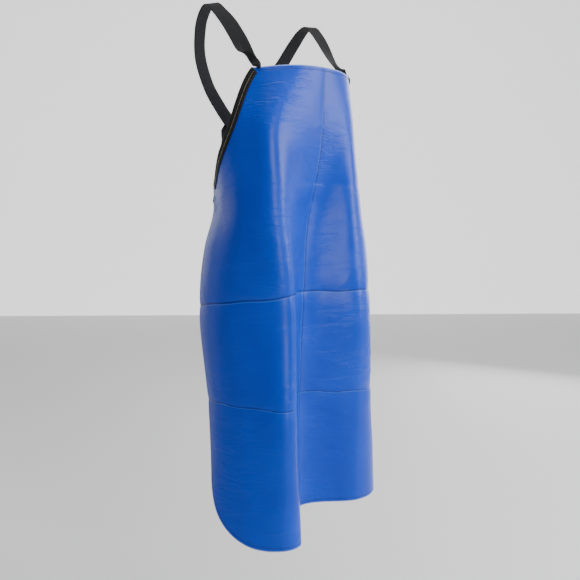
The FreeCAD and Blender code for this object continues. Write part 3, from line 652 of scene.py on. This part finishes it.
def unfolding_tape(name, line, side):
    """The strap: folded in half where it leaves the binding, and opening out flat above it."""
    c, ahead, o, arm = frames(line, side)
    run = lengths_along(c)
    half, bend = WEB_WIDTH / 2, 1.2
    u = np.array([3.5, 7, 11, half - 0.5, half])
    tight = np.array([-bend, -0.8, -0.4, 0, 0.4, 0.8, bend])
    u = np.concatenate([-u[::-1], tight, u])
    thin = np.where(np.abs(u) == half, WEB_THICK / 4, WEB_THICK / 2)
    verts, uvs = [], []
    for i in range(len(c)):
        shut = float(np.clip((WEB_WIDTH - line[i, 6]) / (WEB_WIDTH - BASE_WIDTH), 0, 1))
        shut = shut * shut * (3 - 2 * shut)
        turn = (math.pi - 0.03) * shut * np.clip((bend - u) / (2 * bend), 0, 1)
        inward = -arm[i]
        tangent = np.cos(turn)[:, None] * inward + np.sin(turn)[:, None] * -o[i]
        out = np.sin(turn)[:, None] * inward + np.cos(turn)[:, None] * o[i]
        steps = np.vstack([[0, 0, 0], (tangent[1:] + tangent[:-1]) / 2 * np.diff(u)[:, None]])
        path = np.cumsum(steps, axis=0)
        path = path - path[len(u) // 2] + c[i] + (arm[i] * half / 2 + o[i] * 0.75) * shut
        verts += list(path + out * thin[:, None]) + list((path - out * thin[:, None])[::-1])
        uvs += [(v, run[i]) for v in np.concatenate([u, u[::-1]])]
    k = 2 * len(u)
    faces = ring_faces(len(c), k)
    for base in (0, (len(c) - 1) * k):
        faces += [[base + j, base + j + 1, base + k - 2 - j, base + k - 1 - j] for j in range(len(u) - 1)]
    return closed_mesh(name, verts, faces, uvs)


def armhole_frame(side, t):
    """The armhole edge's place across the sheet at t, and the direction (s, t) in from the edge."""
    t0, t1 = max(t - 1.0, 0.0), t + 1.0
    ds, dt = float(half_width(t1) - half_width(t0)), t1 - t0
    size = math.hypot(ds, dt)
    return side * float(half_width(t)), (-side * dt / size, ds / size)


def binding(name, side):
    """Webbing folded over the armhole's edge, with a soft round fold and pressed legs."""
    gap, face, leg = TRIM_GAP, TRIM_GAP + WEB_THICK, TRIM_LEG
    outer = [(leg, gap + 0.55), (leg - 0.3, face), (leg * 0.75, face), (leg * 0.52, face - 0.25),
             (leg * 0.3, face), (1.5, face), (0.2, face), (-0.8, face - 0.25), (-1.4, gap + 0.3)]
    outer = outer + [(-1.65, 0.0)] + [(d, -n) for d, n in outer[::-1]]
    inner = [(leg - 0.1, gap), (leg * 0.5, gap), (0.3, gap), (-0.3, gap * 0.6)]
    inner = inner + [(-0.45, 0.0)] + [(d, -n) for d, n in inner[::-1]]
    profile = outer + inner[::-1]
    develop = lengths_along(np.array(profile))
    rings, verts, places = 110, [], []
    for t in np.linspace(0, DROP - TRIM_END, rings):
        edge, inward = armhole_frame(side, t)
        s = np.array([edge + d * inward[0] for d, _ in profile])
        down = np.array([t + d * inward[1] for d, _ in profile])
        ring = on_sheet(s, down, np.array([n for _, n in profile]))
        places.append(ring.mean(0))
        verts += list(ring)
    uvs = [(d, run) for run in lengths_along(np.array(places)) for d in develop]
    k, m = len(profile), len(outer)
    faces = ring_faces(rings, k)
    facing = [k - 1 - min(int(j * len(inner) / m), len(inner) - 1) for j in range(m)]
    for base in (0, (rings - 1) * k):
        for j in range(m - 1):
            far, near = facing[j + 1], facing[j]
            corners = [j, j + 1, far] + ([near] if near != far else [])
            faces.append([base + v for v in corners])
    return closed_mesh(name, verts, faces, uvs)


def armhole_seam(side, height):
    """A line of places and normals along the binding's seam, on one face of the sheet."""
    count = 120
    ts = np.linspace(1.0, DROP - 8.0, count)
    rows = [armhole_frame(side, t) for t in ts]
    s = np.array([edge + SEAM_INSET * inward[0] for edge, inward in rows])
    down = np.array([t + SEAM_INSET * inward[1] for t, (_, inward) in zip(ts, rows)])
    return on_sheet(s, down, np.full(count, height)), normal(s, down) * np.sign(height)


def on_tab(side, distance, across):
    """The sheet's (s, t) under the waist tab, at a distance in from the side and across the tape."""
    s = side * (WIDTH / 2 - distance * math.cos(TAB_SLANT) + side * across * math.sin(TAB_SLANT))
    return s, TAB_T + distance * math.sin(TAB_SLANT) + side * across * math.cos(TAB_SLANT)


def waist_tab(name, side):
    """The doubled tab: one tape from inside the waist corner, round the socket's bar and back."""
    stretch = Stretch(side)
    half = WEB_WIDTH / 2
    across = np.linspace(-half, half, 9)
    sewn_places = np.concatenate([np.linspace(TAB_SEWN, 0, 10), [-4.0, -8.0, -TAB_FREE]])

    def sewn(distances, depth, way):
        """Rows of places and normals where the tape lies along the sheet."""
        rows = []
        for distance in distances:
            s, t = on_tab(side, distance, across)
            rows.append((on_sheet(s, t, np.full(len(across), -depth)), normal(s, t) * way))
        return rows

    places = sewn(sewn_places, TAB_UNDER, 1)
    round_bar = [(TAB_BAR, angle) for angle in range(-90, 91, 15)]
    for y, angle in [(TAB_BAR - 4, -90)] + round_bar + [(TAB_BAR - 4, 90)]:
        w = math.radians(angle)
        rise = RUN_MIDDLE + TAB_REACH * math.sin(w)
        row = np.array([stretch.at(x, y + TAB_REACH * math.cos(w), rise) for x in across])
        o = stretch.up * -math.cos(w) - stretch.out * math.sin(w)
        places.append((row, np.tile(o, (len(across), 1))))
    places += sewn(sewn_places[::-1], TAB_OVER, -1)

    edge = np.clip((np.abs(across) / half - 0.93) / 0.07, 0, 1)
    thin = WEB_THICK / 2 * np.sqrt(1 - edge**2 * 0.8)[:, None]
    run = lengths_along(np.array([row[4] for row, _ in places]))
    verts, uvs = [], []
    for (row, o), length in zip(places, run):
        verts += list(row - o * thin) + list((row + o * thin)[::-1])
        uvs += [(x, length) for x in np.concatenate([across, across[::-1]])]
    k = 2 * len(across)
    caps = [list(range(k)), list(range((len(places) - 1) * k, len(places) * k))]
    return closed_mesh(name, verts, ring_faces(len(places), k) + caps, uvs)


def box_stitch(name, side, height):
    """The box and cross of stitches that holds the tab, seen on one face of the sheet."""
    corners = [(4, -11), (33, -11), (33, 11), (4, 11)]
    runs = list(zip(corners, corners[1:] + corners[:1]))
    runs += [(corners[0], corners[2]), (corners[1], corners[3])]
    count = 24
    f = np.linspace(0, 1, count)
    made = []
    for k, (a, b) in enumerate(runs):
        s, t = on_tab(side, a[0] + (b[0] - a[0]) * f, a[1] + (b[1] - a[1]) * f)
        line = on_sheet(s, t, np.full(count, height))
        made.append(stitches(name + str(k), line, normal(s, t) * np.sign(height), wide=0.5))
    return join(name, made)


def join(name, objects):
    """One object from several, in place of them."""
    verts, faces, uvs, base = [], [], [], 0
    for o in objects:
        mesh = o.data
        layer = mesh.uv_layers["Flat"].data
        flat = {}
        for poly in mesh.polygons:
            for loop, vertex in zip(poly.loop_indices, poly.vertices):
                flat[vertex] = np.array(layer[loop].uv) / MM
        verts += [np.array(v.co) / MM for v in mesh.vertices]
        uvs += [flat[i] for i in range(len(mesh.vertices))]
        faces += [[base + v for v in poly.vertices] for poly in mesh.polygons]
        base += len(mesh.vertices)
        bpy.data.objects.remove(o)
        bpy.data.meshes.remove(mesh)
    return new_mesh(name, verts, faces, uvs)


def patch(name, side):
    """The film patch inside the waist corner, under the tab."""
    near, wide, high = WIDTH / 2 - 5.0, 50.0, 54.0
    s = side * np.linspace(near - wide, near, 26)[None, :] * np.ones((28, 1))
    t = (TAB_T - 15.0 + np.linspace(0, high, 28))[:, None] * np.ones((1, 26))
    return film_sheet(name, s if side > 0 else s[:, ::-1], t, -0.85, -1.5)


def turned(stretch, centre, middle_rise, reach, angles):
    """Places and outward directions where the webbing turns round a bar."""
    made = []
    for angle in angles:
        w = math.radians(angle)
        made.append((stretch.at(0, centre + reach * math.cos(w), middle_rise + reach * math.sin(w)), w))
    return made


def strap_runs(name, low, stretch):
    """The webbing between slider and plug: the inner run, then the turn and the outer run."""
    slider_end = SLIDER_PLACE - 14
    half = WEB_THICK / 2
    inner = [(stretch.at(0, y, half), stretch.out) for y in np.linspace(RUN_END - 0.1, BAR_PLACE, 14)]
    turn = [(place, stretch.up * -math.cos(w) - stretch.out * math.sin(w))
            for place, w in turned(stretch, BAR_PLACE, RUN_MIDDLE, BAR_TURN, range(-90, -271, -12))]
    outer = [(stretch.at(0, y, RETURN_LOW + half), -stretch.out)
             for y in np.linspace(BAR_PLACE + 0.5, slider_end, 14)]
    for label, points, other, start, end in (
            ("RunInner" + name, inner, "apron", BAR_PLACE, RUN_END),
            ("RunOuter" + name, turn + outer, "slider_" + low, BAR_PLACE + 6, slider_end)):
        piece = paint(tape(label, *zip(*points)), WEB, None)
        tuple(stretch.at(0, start, 0) * MM)
        tuple(stretch.at(0, end, 0) * MM)
        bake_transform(piece)
        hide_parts("strap_return_" + low)


def end_loop(name, low, stretch):
    """The strap's sewn end round the slider's middle bar, with its line of stitches."""
    body = "slider_" + low
    rise, reach = SLIDER_RISE + SLIDER_BAR / 2, SLIDER_BAR / 2 + 0.7
    start, bar = SLIDER_PLACE - 13.9, SLIDER_PLACE + 1.5 - SLIDER_BAR / 2
    points = [(stretch.at(0, y, rise + reach), stretch.out) for y in np.linspace(start, bar, 8)]
    points += [(place, stretch.up * math.cos(w) + stretch.out * math.sin(w))
               for place, w in turned(stretch, bar, rise, reach, range(75, -76, -15))]
    points += [(stretch.at(0, y, rise - reach), -stretch.out) for y in np.linspace(bar, start, 8)]
    end = paint(tape("EndLoop" + name, *zip(*points)), WEB, body)
    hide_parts("strap_end_loop_" + low)
    tack = [stretch.at(x, SLIDER_PLACE - 9.0, rise + reach + 0.7) for x in np.linspace(-13, 13, 20)]
    row = stitches("LoopStitch" + name, tack, [stretch.out] * len(tack))
    paint(row, THREAD, body)


# ------------------------------------------------------------------ assemble
on_panel, strap_names = [], []
for side, name, low in ((-1, "Right", "right"), (1, "Left", "left")):
    stretch = Stretch(side)
    line = shoulder_strap(side)
    strap = paint(unfolding_tape("Strap" + name, line, side), WEB)
    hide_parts("shoulder_strap_" + low)
    strap_names.append(strap.name)

    trim = paint(binding("Binding" + name, side), WEB)
    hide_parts("armhole_binding_" + low)
    rows = [stitches("row", *armhole_seam(side, height)) for height in (SEAM_HEIGHT, -SEAM_HEIGHT)]
    c, _, o, arm = frames(line, side)
    base = slice(0, 15)
    on_strap = c[base] + o[base] * 1.45 - arm[base] * 0.4
    rows.append(stitches("row", on_strap, o[base], wide=0.6))
    seam = paint(join("TrimStitch" + name, rows), THREAD)

    corner_patch = paint(patch("Patch" + name, side), FILM)
    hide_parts("waist_patch_" + low)
    tab = paint(waist_tab("Tab" + name, side), WEB)
    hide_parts("waist_tab_" + low)
    inside = paint(box_stitch("TabStitch" + name, side, -4.68), THREAD)
    outside = paint(box_stitch("FaceStitch" + name, side, 0.42), BLUE_THREAD)
    on_panel += [trim, seam, corner_patch, tab, inside, outside]
    strap_runs(name, low, stretch)
    end_loop(name, low, stretch)

count = 160
hem_s = np.linspace(-BIB / 2 + 14, BIB / 2 - 14, count)
hem_t = np.full(count, 5.6)
hem_line = on_sheet(hem_s, hem_t, np.full(count, 0.40))
hem_row = stitches("HemStitch", hem_line, normal(hem_s, hem_t), step=3.2, long=2.4, wide=0.4)
on_panel.append(paint(hem_row, BLUE_THREAD))

# ------------------------------------------------------------------ carried-over pieces
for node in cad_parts.values():
    if not node.hide_render:
        node.data.materials.clear()
        node.data.materials.append(PLASTIC)

# ------------------------------------------------------------------ floor, light and camera
bpy.ops.mesh.primitive_plane_add(size=12, location=(0, 0, -1.35))
floor = bpy.context.object
backdrop = Nodes("Backdrop")
haze = backdrop.add("ShaderNodeTexNoise", {"Scale": 3.0}).outputs["Fac"]
backdrop.set(color=backdrop.mix(haze, (0.80, 0.80, 0.80, 1), (0.84, 0.84, 0.84, 1)), rough=0.8)
floor.data.materials.append(backdrop.mat)
upright = (math.pi / 2, 0, math.radians(-45))
bpy.ops.mesh.primitive_plane_add(size=1, location=(3.2, 3.2, 1.2), rotation=upright)
wall = bpy.context.object
wall.scale = (18, 9, 1)
glow = Nodes("Backlight")
glow.set(color=(0.8, 0.8, 0.8, 1), rough=0.9)
glow.bsdf.inputs["Emission Color"].default_value = (1.0, 1.0, 1.0, 1)
glow.bsdf.inputs["Emission Strength"].default_value = 1.1
wall.data.materials.append(glow.mat)
world = bpy.data.worlds.new("Studio")
world.use_nodes = True
world.node_tree.nodes["Background"].inputs[0].default_value = (0.93, 0.95, 1.0, 1)
world.node_tree.nodes["Background"].inputs[1].default_value = 0.16
bpy.context.scene.world = world


def area_light(name, place, size, power, target=(0, -0.1, -0.5)):
    """A rectangular light at a place, turned to the target."""
    data = bpy.data.lights.new(name, "AREA")
    data.shape = "RECTANGLE"
    data.size, data.size_y = size
    data.energy = power
    obj = bpy.data.objects.new(name, data)
    bpy.context.scene.collection.objects.link(obj)
    obj.location = place
    obj.rotation_euler = (Vector(target) - Vector(place)).to_track_quat("-Z", "Y").to_euler()


area_light("FrontStrip", (-0.62, -2.3, 0.15), (0.45, 1.9), 30, (-0.05, -0.1, -0.5))
area_light("RightFront", (1.7, -2.2, 0.4), (1.6, 2.0), 85)
area_light("RightBack", (2.6, 0.6, 0.1), (1.3, 2.4), 26)
area_light("LeftBack", (-1.5, 2.1, 0.0), (1.3, 2.4), 9)
area_light("Top", (-0.2, -0.5, 1.9), (1.6, 1.6), 34, (0, -0.1, -0.4))

cam_data = bpy.data.cameras.new("Camera")
cam_data.lens, cam_data.sensor_width = 45.4, 36.0
cam = bpy.data.objects.new("Camera", cam_data)
bpy.context.scene.collection.objects.link(cam)
bpy.context.scene.camera = cam
cam.location = (-1.0607, -1.0757, -0.350)
# degrees that the camera is turned from straight at the wearer's front, and tilted below level
turned_by, tilted_down = -46.5651, 7.4716
cam.rotation_euler = (math.radians(90 - tilted_down), 0, math.radians(turned_by))
